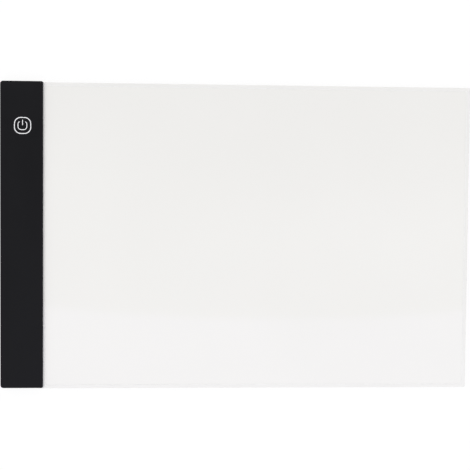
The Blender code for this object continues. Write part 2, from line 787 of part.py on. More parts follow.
def build_led_strip(parts, cutters, materials):
    """Upright strip board with its row of side-firing LEDs."""
    half = HALF_CHAMBER - STRIP_END_INSET
    bm = bmesh.new()
    add_box(bm, (STRIP_BACK_X, STRIP_FRONT_X), (-half, half), around(MIDDLE_Z, STRIP_HEIGHT))
    mesh_object("led_strip_board", bm, parts, materials["strip"])

    bm = bmesh.new()
    add_box(bm, (LED_BACK_X, LED_FRONT_X), around(0, LED_LENGTH), around(MIDDLE_Z, LED_HEIGHT))
    pattern = mesh_object("led_pattern", bm, cutters)
    bm = bmesh.new()
    add_box(
        bm,
        (LED_FRONT_X - LED_WINDOW_DEPTH, LED_FRONT_X + OVERRUN),
        around(0, LED_LENGTH - 2 * LED_FRAME),
        around(MIDDLE_Z, LED_HEIGHT - 2 * LED_FRAME),
    )
    window = as_tool(mesh_object("led_window", bm, cutters))
    cut(pattern, window)
    shape = mesh_object("led_shape", evaluated_bmesh(pattern), cutters, materials["led"])
    reach = half - LED_END_INSET
    for number, y in enumerate(evenly(-reach, reach, LED_COUNT), 1):
        led = place_object(f"led_{number:02d}", shape.data, parts)
        led.location = (0, y, 0)
    bpy.data.objects.remove(shape, do_unlink=True)


def build_control_board(parts, material):
    """Control board with a notch for the socket and holes for the pins and a screw."""
    notch = around(BAR_MIDDLE_X, SOCKET_WIDTH + 2 * SOCKET_CLEARANCE)
    outline = [
        (BOARD_X[0], BOARD_Y[0]),
        (BOARD_X[1], BOARD_Y[0]),
        (BOARD_X[1], BOARD_Y[1]),
        (notch[1], BOARD_Y[1]),
        (notch[1], SOCKET_NOTCH_Y),
        (notch[0], SOCKET_NOTCH_Y),
        (notch[0], BOARD_Y[1]),
        (BOARD_X[0], BOARD_Y[1]),
    ]
    holes = [circle(place, PIN_DIAMETER + 2 * PIN_CLEARANCE, SMALL_ROUND_SEGMENTS)
             for place in post_places()[:2]]
    clear = SCREW_SHANK_DIAMETER + 2 * SCREW_CLEARANCE
    for y, through_board in screw_places():
        if through_board:
            holes.append(circle((BOSS_X, y), clear, SMALL_ROUND_SEGMENTS))
    board = outline_object("control_board", [outline, *holes], BOARD_THICKNESS, parts, material)
    board.location = (0, 0, MIDDLE_Z)


def build_touch_foam(parts, material):
    """Conductive foam between the board and the roof, under the touch key."""
    bm = bmesh.new()
    add_rod(bm, BAR_MIDDLE_X, TOUCH_Y, (BOARD_Z[1] + SOLDER_GAP, ROOF_Z - SOLDER_GAP),
            TOUCH_FOAM_DIAMETER, segments=ROUND_SEGMENTS)
    mesh_object("touch_foam", bm, parts, material)


def socket_profile(spare):
    """Socket section: rounded corners above and chamfered ones below, drawn in all round by spare."""
    half = SOCKET_WIDTH / 2 - spare
    tall = SOCKET_HEIGHT / 2 - spare
    slope = SOCKET_CHAMFER - spare * (2 - math.sqrt(2))
    round_radius = max(SOCKET_CORNER - spare, SOCKET_INNER_CORNER)
    return [
        *arc((half - round_radius, tall - round_radius), round_radius, 0, 1, EDGE_SEGMENTS),
        *arc((-half + round_radius, tall - round_radius), round_radius, 1, 2, EDGE_SEGMENTS),
        (-half, -tall + slope),
        (-half + slope, -tall),
        (half - slope, -tall),
        (half, -tall + slope),
    ]


def flared_tube():
    """Socket tube lofted through its sections: in along the outside, round the flared mouth and back."""
    flare_y = SOCKET_Y[1] - SOCKET_FLARE_DEPTH
    sections = (
        (SOCKET_Y[0], 0),
        (flare_y, 0),
        (SOCKET_Y[1], -SOCKET_FLARE),
        (SOCKET_Y[1], SOCKET_WALL - SOCKET_FLARE),
        (flare_y, SOCKET_WALL),
        (SOCKET_Y[0], SOCKET_WALL),
    )
    bm = bmesh.new()
    rings = []
    for y, spare in sections:
        profile = socket_profile(spare)
        rings.append([bm.verts.new((BAR_MIDDLE_X + across, y, MIDDLE_Z + up)) for across, up in profile])
    for ring, following in zip(rings, rings[1:] + rings[:1]):
        for index, corner in enumerate(ring):
            last = index - 1
            bm.faces.new((ring[last], corner, following[index], following[last]))
    bmesh.ops.recalc_face_normals(bm, faces=bm.faces)
    return bm


def lip_gaps():
    """Slanted cuts that part the flare into four lips: slits above, and the whole chamfers below."""
    bm = bmesh.new()
    along = (SOCKET_Y[1] - SOCKET_FLARE_DEPTH, SOCKET_Y[1] + OVERRUN)
    outwards = (-SOCKET_WALL - ROOT, SOCKET_WALL + SOCKET_FLARE + OVERRUN)
    corner_cuts = (
        (1, SOCKET_CORNER * (1 - math.sqrt(0.5)), SOCKET_LIP_GAP),
        (-1, SOCKET_CHAMFER / 2, SOCKET_CHAMFER * math.sqrt(2)),
    )
    for side in (-1, 1):
        for up, inset, width in corner_cuts:
            added = add_box(bm, around(0, width), along, outwards)
            turn = Matrix.Rotation(side * (math.radians(90) - up * math.radians(45)), 4, "Y")
            across = BAR_MIDDLE_X + side * (SOCKET_WIDTH / 2 - inset)
            height = MIDDLE_Z + up * (SOCKET_HEIGHT / 2 - inset)
            placed = Matrix.Translation((across, 0, height)) @ turn
            bmesh.ops.transform(bm, matrix=placed, verts=added)
    return bm


def build_socket(parts, cutters, materials):
    """Micro USB socket: metal shell with a flared mouth and solder ears, and its moulded insert."""
    shell = mesh_object("usb_shell", flared_tube(), parts, materials["socket"])
    cut(shell, as_tool(mesh_object("lip_gaps", lip_gaps(), cutters)))
    ear_z = (BOARD_Z[1] + SOLDER_GAP, BOARD_Z[1] + SOLDER_GAP + SOCKET_EAR_THICKNESS)
    side = SOCKET_WIDTH / 2
    ear_low = SOCKET_Y[0] + SOCKET_EAR_WIDTH / 2 + SOCKET_WALL
    ear_high = BOARD_Y[1] - SOCKET_EAR_WIDTH / 2
    bm = bmesh.new()
    for middle in (ear_low, ear_high):
        for sign in (-1, 1):
            reach = sorted((BAR_MIDDLE_X + sign * (side - SOCKET_WALL / 2),
                            BAR_MIDDLE_X + sign * (side + SOCKET_EAR_LENGTH)))
            add_box(bm, reach, around(middle, SOCKET_EAR_WIDTH), ear_z)
    fuse(shell, as_tool(mesh_object("socket_ears", bm, cutters)))
    shade_after_cuts(shell)

    spare = SOCKET_WALL + SOLDER_GAP
    curve = outline_object("socket_base", [socket_profile(spare)], SOCKET_BASE_DEPTH, cutters)
    curve.rotation_euler = (math.radians(90), 0, 0)
    curve.location = (BAR_MIDDLE_X, SOCKET_Y[0] + SOCKET_BASE_DEPTH / 2, MIDDLE_Z)
    base = mesh_object("usb_tongue", evaluated_bmesh(curve), parts, materials["tongue"])
    bm = bmesh.new()
    add_box(
        bm,
        around(BAR_MIDDLE_X, SOCKET_TONGUE_WIDTH),
        (SOCKET_Y[0] + SOCKET_BASE_DEPTH - ROOT, SOCKET_Y[1] - SOCKET_TONGUE_SETBACK),
        around(MIDDLE_Z + SOCKET_TONGUE_RISE, SOCKET_TONGUE_THICKNESS),
    )
    fuse(base, as_tool(mesh_object("socket_tongue", bm, cutters)))
    shade_after_cuts(base)


def build_legged_chip(name, x, y, size, legs, parts, cutters, material):
    """Small package under the board with short flat legs on its two long sides."""
    length, width, height = size
    top = BOARD_Z[0] - SOLDER_GAP
    bm = bmesh.new()
    add_box(bm, around(x, width), around(y, length), (top - height, top))
    round_edges(bm, rim_edges(bm, -1), CHIP_BEVEL, 1)
    chip = mesh_object(name, bm, parts, material)
    bm = bmesh.new()
    for side, count in zip((-1, 1), legs):
        step = length / (count + 1)
        for index in range(count):
            middle = y - length / 2 + step * (index + 1)
            reach = sorted((x + side * (width / 2 - ROOT), x + side * (width / 2 + LEG_LENGTH)))
            add_box(bm, reach, around(middle, LEG_WIDTH), (top - LEG_THICKNESS, top))
    fuse(chip, as_tool(mesh_object(f"{name}_legs", bm, cutters)))
    shade_after_cuts(chip)


def build_end_capped_chip(name, x, y, size, parts, cutters, material):
    """Chip resistor or capacitor: a block between two slightly larger end caps."""
    length, width, height = size
    top = BOARD_Z[0] - SOLDER_GAP
    step = END_CAP_STEP
    bm = bmesh.new()
    add_box(bm, around(x, width - 2 * step), around(y, length - END_CAP_LENGTH),
            (top - height + step, top - step))
    chip = mesh_object(name, bm, parts, material)
    bm = bmesh.new()
    for side in (-1, 1):
        middle = y + side * (length - END_CAP_LENGTH) / 2
        add_box(bm, around(x, width), around(middle, END_CAP_LENGTH), (top - height, top))
    fuse(chip, as_tool(mesh_object(f"{name}_caps", bm, cutters)))
    shade_after_cuts(chip)


def build_small_parts(parts, cutters, materials):
    """Touch controller, dimming transistor and the chips round them, in rows across the board."""
    rows = evenly(BOARD_Y[0], SOCKET_NOTCH_Y, GRID_ROWS)
    columns = evenly(BOARD_X[0], BOARD_X[1], GRID_COLUMNS)
    build_legged_chip("touch_chip", columns[2], rows[3], TOUCH_CHIP_SIZE, (3, 3),
                      parts, cutters, materials["chip"])
    build_legged_chip("dimmer_transistor", columns[2], rows[1], TRANSISTOR_SIZE, (2, 1),
                      parts, cutters, materials["chip"])
    build_end_capped_chip("supply_capacitor", columns[3], rows[4], CAPACITOR_SIZE,
                          parts, cutters, materials["capacitor"])
    build_end_capped_chip("timing_capacitor", columns[3], rows[3], SMALL_CHIP_SIZE,
                          parts, cutters, materials["capacitor"])
    build_end_capped_chip("limit_resistor_1", columns[3], rows[2], LARGE_CHIP_SIZE,
                          parts, cutters, materials["resistor"])
    build_end_capped_chip("limit_resistor_2", columns[1], rows[2], LARGE_CHIP_SIZE,
                          parts, cutters, materials["resistor"])


def curve_between(first, first_pull, last_pull, last, count):
    """Points on one smooth cubic from first to last."""
    points = []
    for index in range(count):
        t = index / (count - 1)
        rest = 1 - t
        points.append(first * rest ** 3 + first_pull * 3 * rest ** 2 * t
                      + last_pull * 3 * rest * t ** 2 + last * t ** 3)
    return points


def build_wire(name, start, end, parts, material):
    """Insulated lead: leaves the board along -Y and lands square on the back of the strip."""
    curve = bpy.data.curves.new(name, "CURVE")
    curve.dimensions = "3D"
    curve.bevel_depth = WIRE_DIAMETER / 2
    curve.bevel_resolution = 2
    curve.use_fill_caps = True
    points = curve_between(start, start - Vector((0, WIRE_LOOP, 0)),
                           end - Vector((WIRE_LOOP, 0, 0)), end, WIRE_POINTS)
    spline = curve.splines.new("POLY")
    spline.points.add(len(points) - 1)
    for spot, point in zip(spline.points, points):
        spot.co = point.to_4d()
    place_object(name, curve, parts, material)


def build_wires(parts, materials):
    """Pair of leads from the board's inner end to the strip."""
    high = BOARD_Z[1] + SOLDER_GAP + WIRE_DIAMETER / 2
    landing = STRIP_BACK_X - SOLDER_GAP
    for number, name in enumerate(("red_wire", "black_wire")):
        start = Vector((RAIL_X[0] - WIRE_PITCH * (2 - number), BOARD_Y[0] + WIRE_START_INSET, high))
        end = Vector((landing, BOARD_Y[0] - WIRE_RUN + WIRE_PITCH * 2 * number, MIDDLE_Z))
        build_wire(name, start, end, parts, materials[name])


def main():
    for item in list(bpy.data.objects):
        bpy.data.objects.remove(item, do_unlink=True)
    parts = new_collection("led_tracing_pad")
    cutters = new_collection("cutters")
    black = make_material("black_plastic", (0.014, 0.014, 0.016), 0.42)
    white = make_material("white_plastic", (0.80, 0.80, 0.79), 0.45)
    materials = {
        "reflector": make_material("reflector_film", (0.88, 0.88, 0.88), 0.55),
        "guide": make_material("light_guide", (0.92, 0.94, 0.94), 0.08, transmission=0.9),
        "diffuser": make_material("diffuser_film", (0.86, 0.86, 0.86), 0.7),
        "front": make_material("front_panel", (0.83, 0.83, 0.81), 0.18),
        "strip": make_material("strip_board", (0.78, 0.79, 0.77), 0.4),
        "led": make_material("led_package", (0.86, 0.74, 0.28), 0.35),
        "socket": make_material("socket_steel", (0.62, 0.62, 0.60), 0.28, metallic=1.0),
        "tongue": make_material("socket_insert", (0.02, 0.02, 0.02), 0.5),
        "chip": make_material("chip_epoxy", (0.03, 0.03, 0.03), 0.55),
        "capacitor": make_material("capacitor_ceramic", (0.45, 0.32, 0.19), 0.5),
        "resistor": make_material("resistor_glaze", (0.05, 0.05, 0.06), 0.3),
        "red_wire": make_material("red_insulation", (0.62, 0.03, 0.03), 0.4),
        "black_wire": make_material("black_insulation", (0.02, 0.02, 0.02), 0.4),
    }
    window = socket_window(cutters)
    build_top_cover(parts, cutters, window, black)
    build_bottom_cover(parts, cutters, window, black)
    build_tray(parts, cutters, white)
    build_sheets(parts, materials)
    build_tape(parts, make_material("adhesive_tape", (0.75, 0.75, 0.72), 0.6))
    build_feet(parts, make_material("foot_rubber", (0.05, 0.05, 0.05), 0.8))
    build_screws(parts, make_material("screw_steel", (0.25, 0.25, 0.26), 0.35, metallic=1.0))
    build_led_strip(parts, cutters, materials)
    build_control_board(parts, make_material("board_green", (0.02, 0.16, 0.07), 0.4))
    build_touch_foam(parts, make_material("conductive_foam", (0.08, 0.08, 0.085), 0.9))
    build_socket(parts, cutters, materials)
    build_small_parts(parts, cutters, materials)
    build_wires(parts, materials)


main()
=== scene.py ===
"""Looks of the LED tracing pad: finishes, the printed power sign, screws, contacts, light and camera.

Lengths are millimetres where a name ends in _mm, a value passes through mm() or a comment says so,
and metres otherwise.
"""
import json
import math

import bmesh
import bpy
from mathutils import Euler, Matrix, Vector


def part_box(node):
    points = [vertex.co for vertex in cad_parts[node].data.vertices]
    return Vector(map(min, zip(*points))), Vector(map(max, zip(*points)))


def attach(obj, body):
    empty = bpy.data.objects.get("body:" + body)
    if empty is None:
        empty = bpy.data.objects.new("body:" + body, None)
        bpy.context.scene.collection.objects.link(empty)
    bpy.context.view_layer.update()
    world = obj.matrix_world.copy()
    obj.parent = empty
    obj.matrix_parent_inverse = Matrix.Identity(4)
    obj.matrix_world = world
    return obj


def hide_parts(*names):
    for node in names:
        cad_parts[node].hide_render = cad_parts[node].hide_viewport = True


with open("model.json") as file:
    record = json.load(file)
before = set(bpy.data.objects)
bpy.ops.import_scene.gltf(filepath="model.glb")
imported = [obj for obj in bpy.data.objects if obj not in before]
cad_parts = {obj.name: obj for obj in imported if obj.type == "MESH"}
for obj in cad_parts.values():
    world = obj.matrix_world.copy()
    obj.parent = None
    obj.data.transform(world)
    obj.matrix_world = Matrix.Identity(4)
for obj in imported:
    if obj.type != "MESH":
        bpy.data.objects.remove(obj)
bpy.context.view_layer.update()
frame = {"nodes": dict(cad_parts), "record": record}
nodes = frame["nodes"]
MM = 0.001


def mm(value):
    """Millimetres as metres."""
    return value * MM


def numbered(prefix):
    """Names of the CAD nodes that are a prefix and a number, in order."""
    return sorted(name for name in nodes if name.startswith(prefix) and name[len(prefix):].isdigit())


def scaled(values, factor):
    """A colour or a span, times a factor."""
    return tuple(value * factor for value in values)


# Finishes


class Nodes:
    """The node tree of a material or world, with short calls that make and join nodes."""

    def __init__(self, owner):
        owner.use_nodes = True
        self.tree = owner.node_tree
        self.tree.nodes.clear()

    def add(self, kind, **settings):
        node = self.tree.nodes.new(kind)
        for key, value in settings.items():
            setattr(node, key, value)
        return node

    def feed(self, socket, value):
        """Gives a socket a constant, or joins it to another node's output."""
        if isinstance(value, bpy.types.NodeSocket):
            self.tree.links.new(value, socket)
        else:
            socket.default_value = value

    def spread(self, value, low, high, start=0.3, end=0.7, shape="LINEAR"):
        """Maps a value from start..end to low..high, held at both ends.

        Without start and end it takes the range in which most of a noise lies.
        """
        node = self.add("ShaderNodeMapRange", clamp=True, interpolation_type=shape)
        self.feed(node.inputs["Value"], value)
        node.inputs["From Min"].default_value = start
        node.inputs["From Max"].default_value = end
        self.feed(node.inputs["To Min"], low)
        self.feed(node.inputs["To Max"], high)
        return node.outputs["Result"]

    def maths(self, operation, first, second=0.0):
        node = self.add("ShaderNodeMath", operation=operation)
        self.feed(node.inputs[0], first)
        self.feed(node.inputs[1], second)
        return node.outputs["Value"]

    def either(self, share, first, second):
        """The first shader where share is 0, the second where it is 1."""
        node = self.add("ShaderNodeMixShader")
        for socket, value in zip(node.inputs, (share, first, second)):
            self.feed(socket, value)
        return node.outputs["Shader"]


class Graph(Nodes):
    """A surface material made from the place on the object, with relief that adds up."""

    def __init__(self, name):
        self.material = bpy.data.materials.new(name)
        super().__init__(self.material)
        self.place = self.add("ShaderNodeTexCoord").outputs["Object"]
        self.normal = None
        self.shader = self.add("ShaderNodeBsdfPrincipled")
        output = self.add("ShaderNodeOutputMaterial")
        self.feed(output.inputs["Surface"], self.shader.outputs["BSDF"])

    def noise(self, size_mm, detail=2.0, roughness=0.5, stretch=(1, 1, 1), shift=0.0):
        """Noise from 0 to 1 whose features are about size_mm across, longer where stretch is above 1."""
        mapping = self.add("ShaderNodeMapping")
        self.feed(mapping.inputs["Vector"], self.place)
        mapping.inputs["Scale"].default_value = [1 / s for s in stretch]
        mapping.inputs["Location"].default_value = (shift, shift, shift)
        node = self.add("ShaderNodeTexNoise")
        self.feed(node.inputs["Vector"], mapping.outputs["Vector"])
        node.inputs["Scale"].default_value = 1 / mm(size_mm)
        node.inputs["Detail"].default_value = detail
        node.inputs["Roughness"].default_value = roughness
        return node.outputs["Fac"]

    def cells(self, size_mm):
        """Distance to the nearest point of a random pattern whose cells are about size_mm across."""
        node = self.add("ShaderNodeTexVoronoi", feature="F1")
        self.feed(node.inputs["Vector"], self.place)
        node.inputs["Scale"].default_value = 1 / mm(size_mm)
        return node.outputs["Distance"]

    def axis(self, letter):
        """One coordinate of the point, in metres."""
        node = self.add("ShaderNodeSeparateXYZ")
        self.feed(node.inputs["Vector"], self.place)
        return node.outputs[letter]

    def off_middle(self, letter, low, high):
        """Distance along one axis from the middle of low..high, in metres."""
        return self.maths("ABSOLUTE", self.maths("SUBTRACT", self.axis(letter), (low + high) / 2))

    def mix(self, factor, first, second):
        """A colour between two colours."""
        node = self.add("ShaderNodeMix", data_type="RGBA")
        self.feed(node.inputs["Factor"], factor)
        colours = [s for s in node.inputs if s.type == "RGBA"]
        for socket, colour in zip(colours, (first, second)):
            self.feed(socket, colour if isinstance(colour, bpy.types.NodeSocket) else (*colour, 1.0))
        return next(s for s in node.outputs if s.type == "RGBA")

    def wander(self, noise, first, second):
        """A colour that wanders between two colours as a noise does."""
        return self.mix(self.spread(noise, 0.0, 1.0), first, second)

    def bump(self, height, depth_mm, strength):
        """Adds relief to whatever relief the material has so far."""
        node = self.add("ShaderNodeBump")
        self.feed(node.inputs["Height"], height)
        node.inputs["Distance"].default_value = mm(depth_mm)
        node.inputs["Strength"].default_value = strength
        if self.normal is not None:
            self.feed(node.inputs["Normal"], self.normal)
        self.normal = node.outputs["Normal"]

    def finish(self, colour, roughness, **constants):
        """Joins colour, roughness and relief to the shader, and sets its constant values."""
        self.feed(self.shader.inputs["Base Color"], colour)
        self.feed(self.shader.inputs["Roughness"], roughness)
        for key, value in constants.items():
            self.shader.inputs[key.replace("_", " ")].default_value = value
        if self.normal is not None:
            self.feed(self.shader.inputs["Normal"], self.normal)
        return self.material


def moulded_plastic(name, colour, rough, grain_mm, depth_mm, level,
                    variation=0.06, smudge_mm=16, speck_share=1.6):
    """Moulded plastic with a fine spark-eroded grain, faint flow marks and handling smudges."""
    g = Graph(name)
    g.bump(g.noise(grain_mm, detail=3.0, roughness=0.6), depth_mm, strength=0.55)
    g.bump(g.noise(grain_mm * 14, detail=2.0), depth_mm * 1.5, strength=0.12)
    smudge = g.noise(smudge_mm, detail=5.0, roughness=0.6)
    wipe = g.noise(3.0, detail=3.0, stretch=(1, 9, 1), shift=2.3)
    roughness = g.maths("ADD", g.spread(smudge, *rough), g.spread(wipe, -0.02, 0.02))
    flow = g.noise(28, detail=3.0, stretch=(1, 2.5, 1), shift=4.1)
    tone = g.wander(flow, scaled(colour, 1 - variation), scaled(colour, 1 + variation))
    speck = g.spread(g.noise(grain_mm * 0.8, detail=1.0, shift=7.7), 0.0, 0.25, 0.62, 0.8)
    tone = g.mix(speck, tone, scaled(colour, speck_share))
    return g.finish(tone, roughness, Specular_IOR_Level=level)


# Slight warp of the front sheet, which bends what it mirrors: where it is level, as a share of its
# half length from its middle, and about how far its corners rise or sink, in millimetres
SHEET_LEVEL_AT = 0.12
SHEET_WARP = 0.42


def front_sheet_finish():
    """Polished white acrylic: slightly warped, with a trace of orange peel, dust haze and hairlines."""
    g = Graph("front_sheet_acrylic")
    low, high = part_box("front_panel")
    along = g.spread(g.axis("X"), -1.0, 1.0, low.x, high.x)
    across = g.spread(g.axis("Y"), -1.0, 1.0, low.y, high.y)
    away = g.maths("SUBTRACT", along, SHEET_LEVEL_AT)
    warp = g.maths("MULTIPLY", g.maths("MULTIPLY", away, away), across)
    g.bump(warp, depth_mm=SHEET_WARP, strength=1.0)
    g.bump(g.noise(46, detail=1.0), depth_mm=0.010, strength=0.30)
    g.bump(g.noise(2.6, detail=2.0, shift=1.9), depth_mm=0.0012, strength=0.25)
    lines_along = g.spread(g.noise(0.5, detail=2.0, stretch=(60, 1, 1), shift=3.0), 0.0, 1.0, 0.70, 0.76)
    lines_across = g.spread(g.noise(0.5, detail=2.0, stretch=(1, 60, 1), shift=6.0), 0.0, 1.0, 0.70, 0.76)
    hairlines = g.maths("MAXIMUM", lines_along, lines_across)
    g.bump(hairlines, depth_mm=0.002, strength=0.25)
    haze = g.noise(34, detail=5.0, roughness=0.55, shift=5.0)
    roughness = g.maths("ADD", g.spread(haze, 0.018, 0.034), g.maths("MULTIPLY", hairlines, 0.12))
    cloud = g.noise(70, detail=2.0, shift=8.0)
    tone = g.wander(cloud, (0.855, 0.850, 0.806), (0.868, 0.863, 0.819))
    return g.finish(tone, roughness, Specular_IOR_Level=0.5)


# Printed dots on the light guide's back: pitch and depth of print in millimetres, and their radius
# as a share of the pitch, which grows from the LEDs to the far end
DOT_PITCH = 0.9
DOT_DEPTH = 0.02
DOT_RADIUS_NEAR = 0.12
DOT_RADIUS_FAR = 0.34


def clear_guide_finish():
    """Clear acrylic plate with printed white dots on its back that grow away from the LEDs."""
    g = Graph("light_guide_acrylic")
    squares = []
    for letter in ("X", "Y"):
        pitches = g.maths("MULTIPLY", g.axis(letter), 1 / mm(DOT_PITCH))
        inside = g.maths("SUBTRACT", g.maths("FRACT", pitches), 0.5)
        squares.append(g.maths("MULTIPLY", inside, inside))
    distance = g.maths("SQRT", g.maths("ADD", *squares))
    low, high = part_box("light_guide")
    size = g.spread(g.axis("X"), DOT_RADIUS_NEAR, DOT_RADIUS_FAR, low.x, high.x)
    dot = g.maths("LESS_THAN", distance, size)
    back = g.maths("LESS_THAN", g.axis("Z"), low.z + mm(DOT_DEPTH))
    printed = g.maths("MULTIPLY", dot, back)
    g.bump(g.noise(1.4, detail=2.0), depth_mm=0.001, strength=0.2)
    roughness = g.maths("ADD", g.spread(g.noise(20), 0.03, 0.07), g.maths("MULTIPLY", printed, 0.5))
    g.feed(g.shader.inputs["Transmission Weight"], g.spread(printed, 1.0, 0.0, 0.0, 1.0))
    tone = g.mix(printed, (0.95, 0.97, 0.96), (0.86, 0.86, 0.86))
    return g.finish(tone, roughness, IOR=1.49)


def film_finish(name, colour, rough):
    """Thin optical film: matt, with a fine frost."""
    g = Graph(name)
    g.bump(g.noise(0.12, detail=2.0), depth_mm=0.004, strength=0.4)
    g.bump(g.noise(30, detail=1.0), depth_mm=0.01, strength=0.2)
    tone = g.wander(g.noise(24, detail=3.0), scaled(colour, 0.985), colour)
    return g.finish(tone, g.spread(g.noise(9, detail=4.0), rough, rough + 0.08))


def tape_finish():
    """Tissue tape with short fibres in it."""
    g = Graph("tissue_tape")
    fibre = g.noise(0.3, detail=3.0, stretch=(4, 1, 1))
    g.bump(fibre, depth_mm=0.01, strength=0.5)
    tone = g.wander(fibre, (0.66, 0.66, 0.62), (0.78, 0.78, 0.75))
    return g.finish(tone, g.spread(fibre, 0.5, 0.65))


# Copper runs of the strip board: where their outer edge fades, in millimetres from its middle height
STRIP_RUNS_EDGE = (0.9, 1.0)


def strip_board_finish():
    """White solder mask with copper runs showing faintly under it."""
    g = Graph("strip_board_mask")
    low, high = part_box("led_strip_board")
    away = g.off_middle("Z", low.z, high.z)
    runs = g.spread(away, 1.0, 0.0, *scaled(STRIP_RUNS_EDGE, MM))
    g.bump(runs, depth_mm=0.03, strength=0.5)
    g.bump(g.noise(0.4, detail=2.0), depth_mm=0.003, strength=0.3)
    tone = g.mix(runs, (0.70, 0.72, 0.69), (0.80, 0.81, 0.79))
    return g.finish(tone, g.spread(g.noise(5, detail=3.0), 0.32, 0.42))


# LED package, where its face and its end caps fade: from the middle, as shares of the half length,
# and the face's half height and depth in millimetres
LED_FACE_ENDS = (0.80, 0.84)
LED_CAP_STARTS = (0.90, 0.92)
LED_FACE_EDGE = (0.46, 0.5)
LED_FACE_DEPTH = 0.2


def led_finish():
    """White reflector cup with a yellow phosphor face and silvered ends."""
    g = Graph("led_phosphor_cup")
    leds = numbered("led_")
    (low, high), (last_low, last_high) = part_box(leds[0]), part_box(leds[-1])
    first_middle = (low.y + high.y) / 2
    last_middle = (last_low.y + last_high.y) / 2
    pitch = (last_middle - first_middle) / (len(leds) - 1)
    half_length = (high.y - low.y) / 2 / abs(pitch)
    along = g.maths("DIVIDE", g.maths("SUBTRACT", g.axis("Y"), first_middle), pitch)
    away = g.maths("ABSOLUTE", g.maths("SUBTRACT", along, g.maths("ROUND", along)))
    in_length = g.spread(away, 1.0, 0.0, *scaled(LED_FACE_ENDS, half_length))
    at_end = g.spread(away, 0.0, 1.0, *scaled(LED_CAP_STARTS, half_length))
    in_height = g.spread(g.off_middle("Z", low.z, high.z), 1.0, 0.0, *scaled(LED_FACE_EDGE, MM))
    in_front = g.maths("GREATER_THAN", g.axis("X"), high.x - mm(LED_FACE_DEPTH))
    face = g.maths("MULTIPLY", g.maths("MULTIPLY", in_length, in_height), in_front)
    g.bump(g.noise(0.15, detail=2.0), depth_mm=0.01, strength=0.3)
    tone = g.mix(face, (0.86, 0.86, 0.84), (0.83, 0.62, 0.12))
    tone = g.mix(at_end, tone, (0.62, 0.62, 0.60))
    g.feed(g.shader.inputs["Metallic"], at_end)
    return g.finish(tone, g.spread(g.noise(0.8, detail=2.0), 0.25, 0.38))


# Control board in millimetres: pitch of its copper runs, size of its ground areas, depth of its mask
BOARD_RUN_PITCH = 3.2
BOARD_GROUND_SIZE = 6
BOARD_MASK_DEPTH = 0.05


def circuit_board_finish():
    """Green solder mask over copper runs and a ground area, with a glass weave in the cut edge."""
    g = Graph("green_circuit_board")
    low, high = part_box("control_board")
    brick = g.add("ShaderNodeTexBrick")
    g.feed(brick.inputs["Vector"], g.place)
    brick.inputs["Scale"].default_value = 1 / mm(BOARD_RUN_PITCH)
    brick.inputs["Mortar Size"].default_value = 0.05
    brick.inputs["Mortar Smooth"].default_value = 0.1
    ground = g.spread(g.noise(BOARD_GROUND_SIZE, detail=0.0), 0.0, 1.0, 0.5, 0.52)
    copper = g.maths("MAXIMUM", brick.outputs["Fac"], ground)
    g.bump(copper, depth_mm=0.035, strength=0.6)
    g.bump(g.noise(0.3, detail=2.0), depth_mm=0.004, strength=0.3)
    mask = g.mix(copper, (0.010, 0.085, 0.035), (0.022, 0.170, 0.070))
    weave = g.noise(0.12, detail=1.0, stretch=(8, 8, 1))
    edge_tone = g.wander(weave, (0.30, 0.33, 0.16), (0.46, 0.48, 0.28))
    above_back = g.maths("GREATER_THAN", g.axis("Z"), low.z + mm(BOARD_MASK_DEPTH))
    below_face = g.maths("LESS_THAN", g.axis("Z"), high.z - mm(BOARD_MASK_DEPTH))
    inside = g.maths("MULTIPLY", above_back, below_face)
    satin = g.spread(g.noise(4, detail=3.0), 0.26, 0.36)
    roughness = g.maths("ADD", satin, g.maths("MULTIPLY", inside, 0.4))
    return g.finish(g.mix(inside, mask, edge_tone), roughness)


def foam_finish():
    """Open-cell foam loaded with carbon, with painted shade darkening the pits of its cells."""
    g = Graph("carbon_foam")
    cells = g.cells(0.35)
    g.bump(cells, depth_mm=0.15, strength=0.9)
    # Painted shade: the pits of the cells, where the relief is lowest, are coloured darker than the cell
    # walls
    tone = g.mix(g.spread(cells, 0.0, 1.0, 0.1, 0.6), (0.035, 0.035, 0.038), (0.11, 0.11, 0.115))
    return g.finish(tone, g.spread(g.noise(1.0), 0.82, 0.95), Specular_IOR_Level=0.25)


# Legs of the touch chip in millimetres: their reach in from its sides, and their height under the board
LEG_REACH = 0.55
LEG_HEIGHT = 0.35


def chip_finish():
    """Black moulded epoxy on tinned legs."""
    g = Graph("chip_epoxy")
    g.bump(g.noise(0.08, detail=3.0), depth_mm=0.006, strength=0.5)
    epoxy = g.wander(g.noise(0.5, detail=3.0), (0.018, 0.018, 0.019), (0.030, 0.030, 0.031))
    board_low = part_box("control_board")[0].z
    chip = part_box("touch_chip")
    out = g.off_middle("X", chip[0].x, chip[1].x)
    beside = g.maths("GREATER_THAN", out, (chip[1].x - chip[0].x) / 2 - mm(LEG_REACH))
    leg = g.maths("MULTIPLY", beside, g.maths("GREATER_THAN", g.axis("Z"), board_low - mm(LEG_HEIGHT)))
    g.feed(g.shader.inputs["Metallic"], leg)
    return g.finish(g.mix(leg, epoxy, (0.66, 0.65, 0.62)), g.spread(leg, 0.52, 0.28, 0.0, 1.0))


# Where a chip part's end caps fade in, from its middle, as shares of its length
CAP_STARTS = (0.29, 0.30)


def end_capped_finish(name, part, colour, glaze):
    """Ceramic chip part with tinned end caps."""
    g = Graph(name)
    low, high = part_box(part)
    size = high - low
    letter = "X" if size.x > size.y else "Y"
    low_end, high_end = (low.x, high.x) if letter == "X" else (low.y, high.y)
    away = g.off_middle(letter, low_end, high_end)
    cap = g.spread(away, 0.0, 1.0, *scaled(CAP_STARTS, high_end - low_end))
    g.bump(g.noise(0.1, detail=3.0), depth_mm=0.006, strength=0.5)
    ceramic = g.wander(g.noise(0.4, detail=3.0), scaled(colour, 0.85), colour)
    g.feed(g.shader.inputs["Metallic"], cap)
    return g.finish(g.mix(cap, ceramic, (0.68, 0.68, 0.66)), g.spread(cap, glaze, 0.30, 0.0, 1.0))


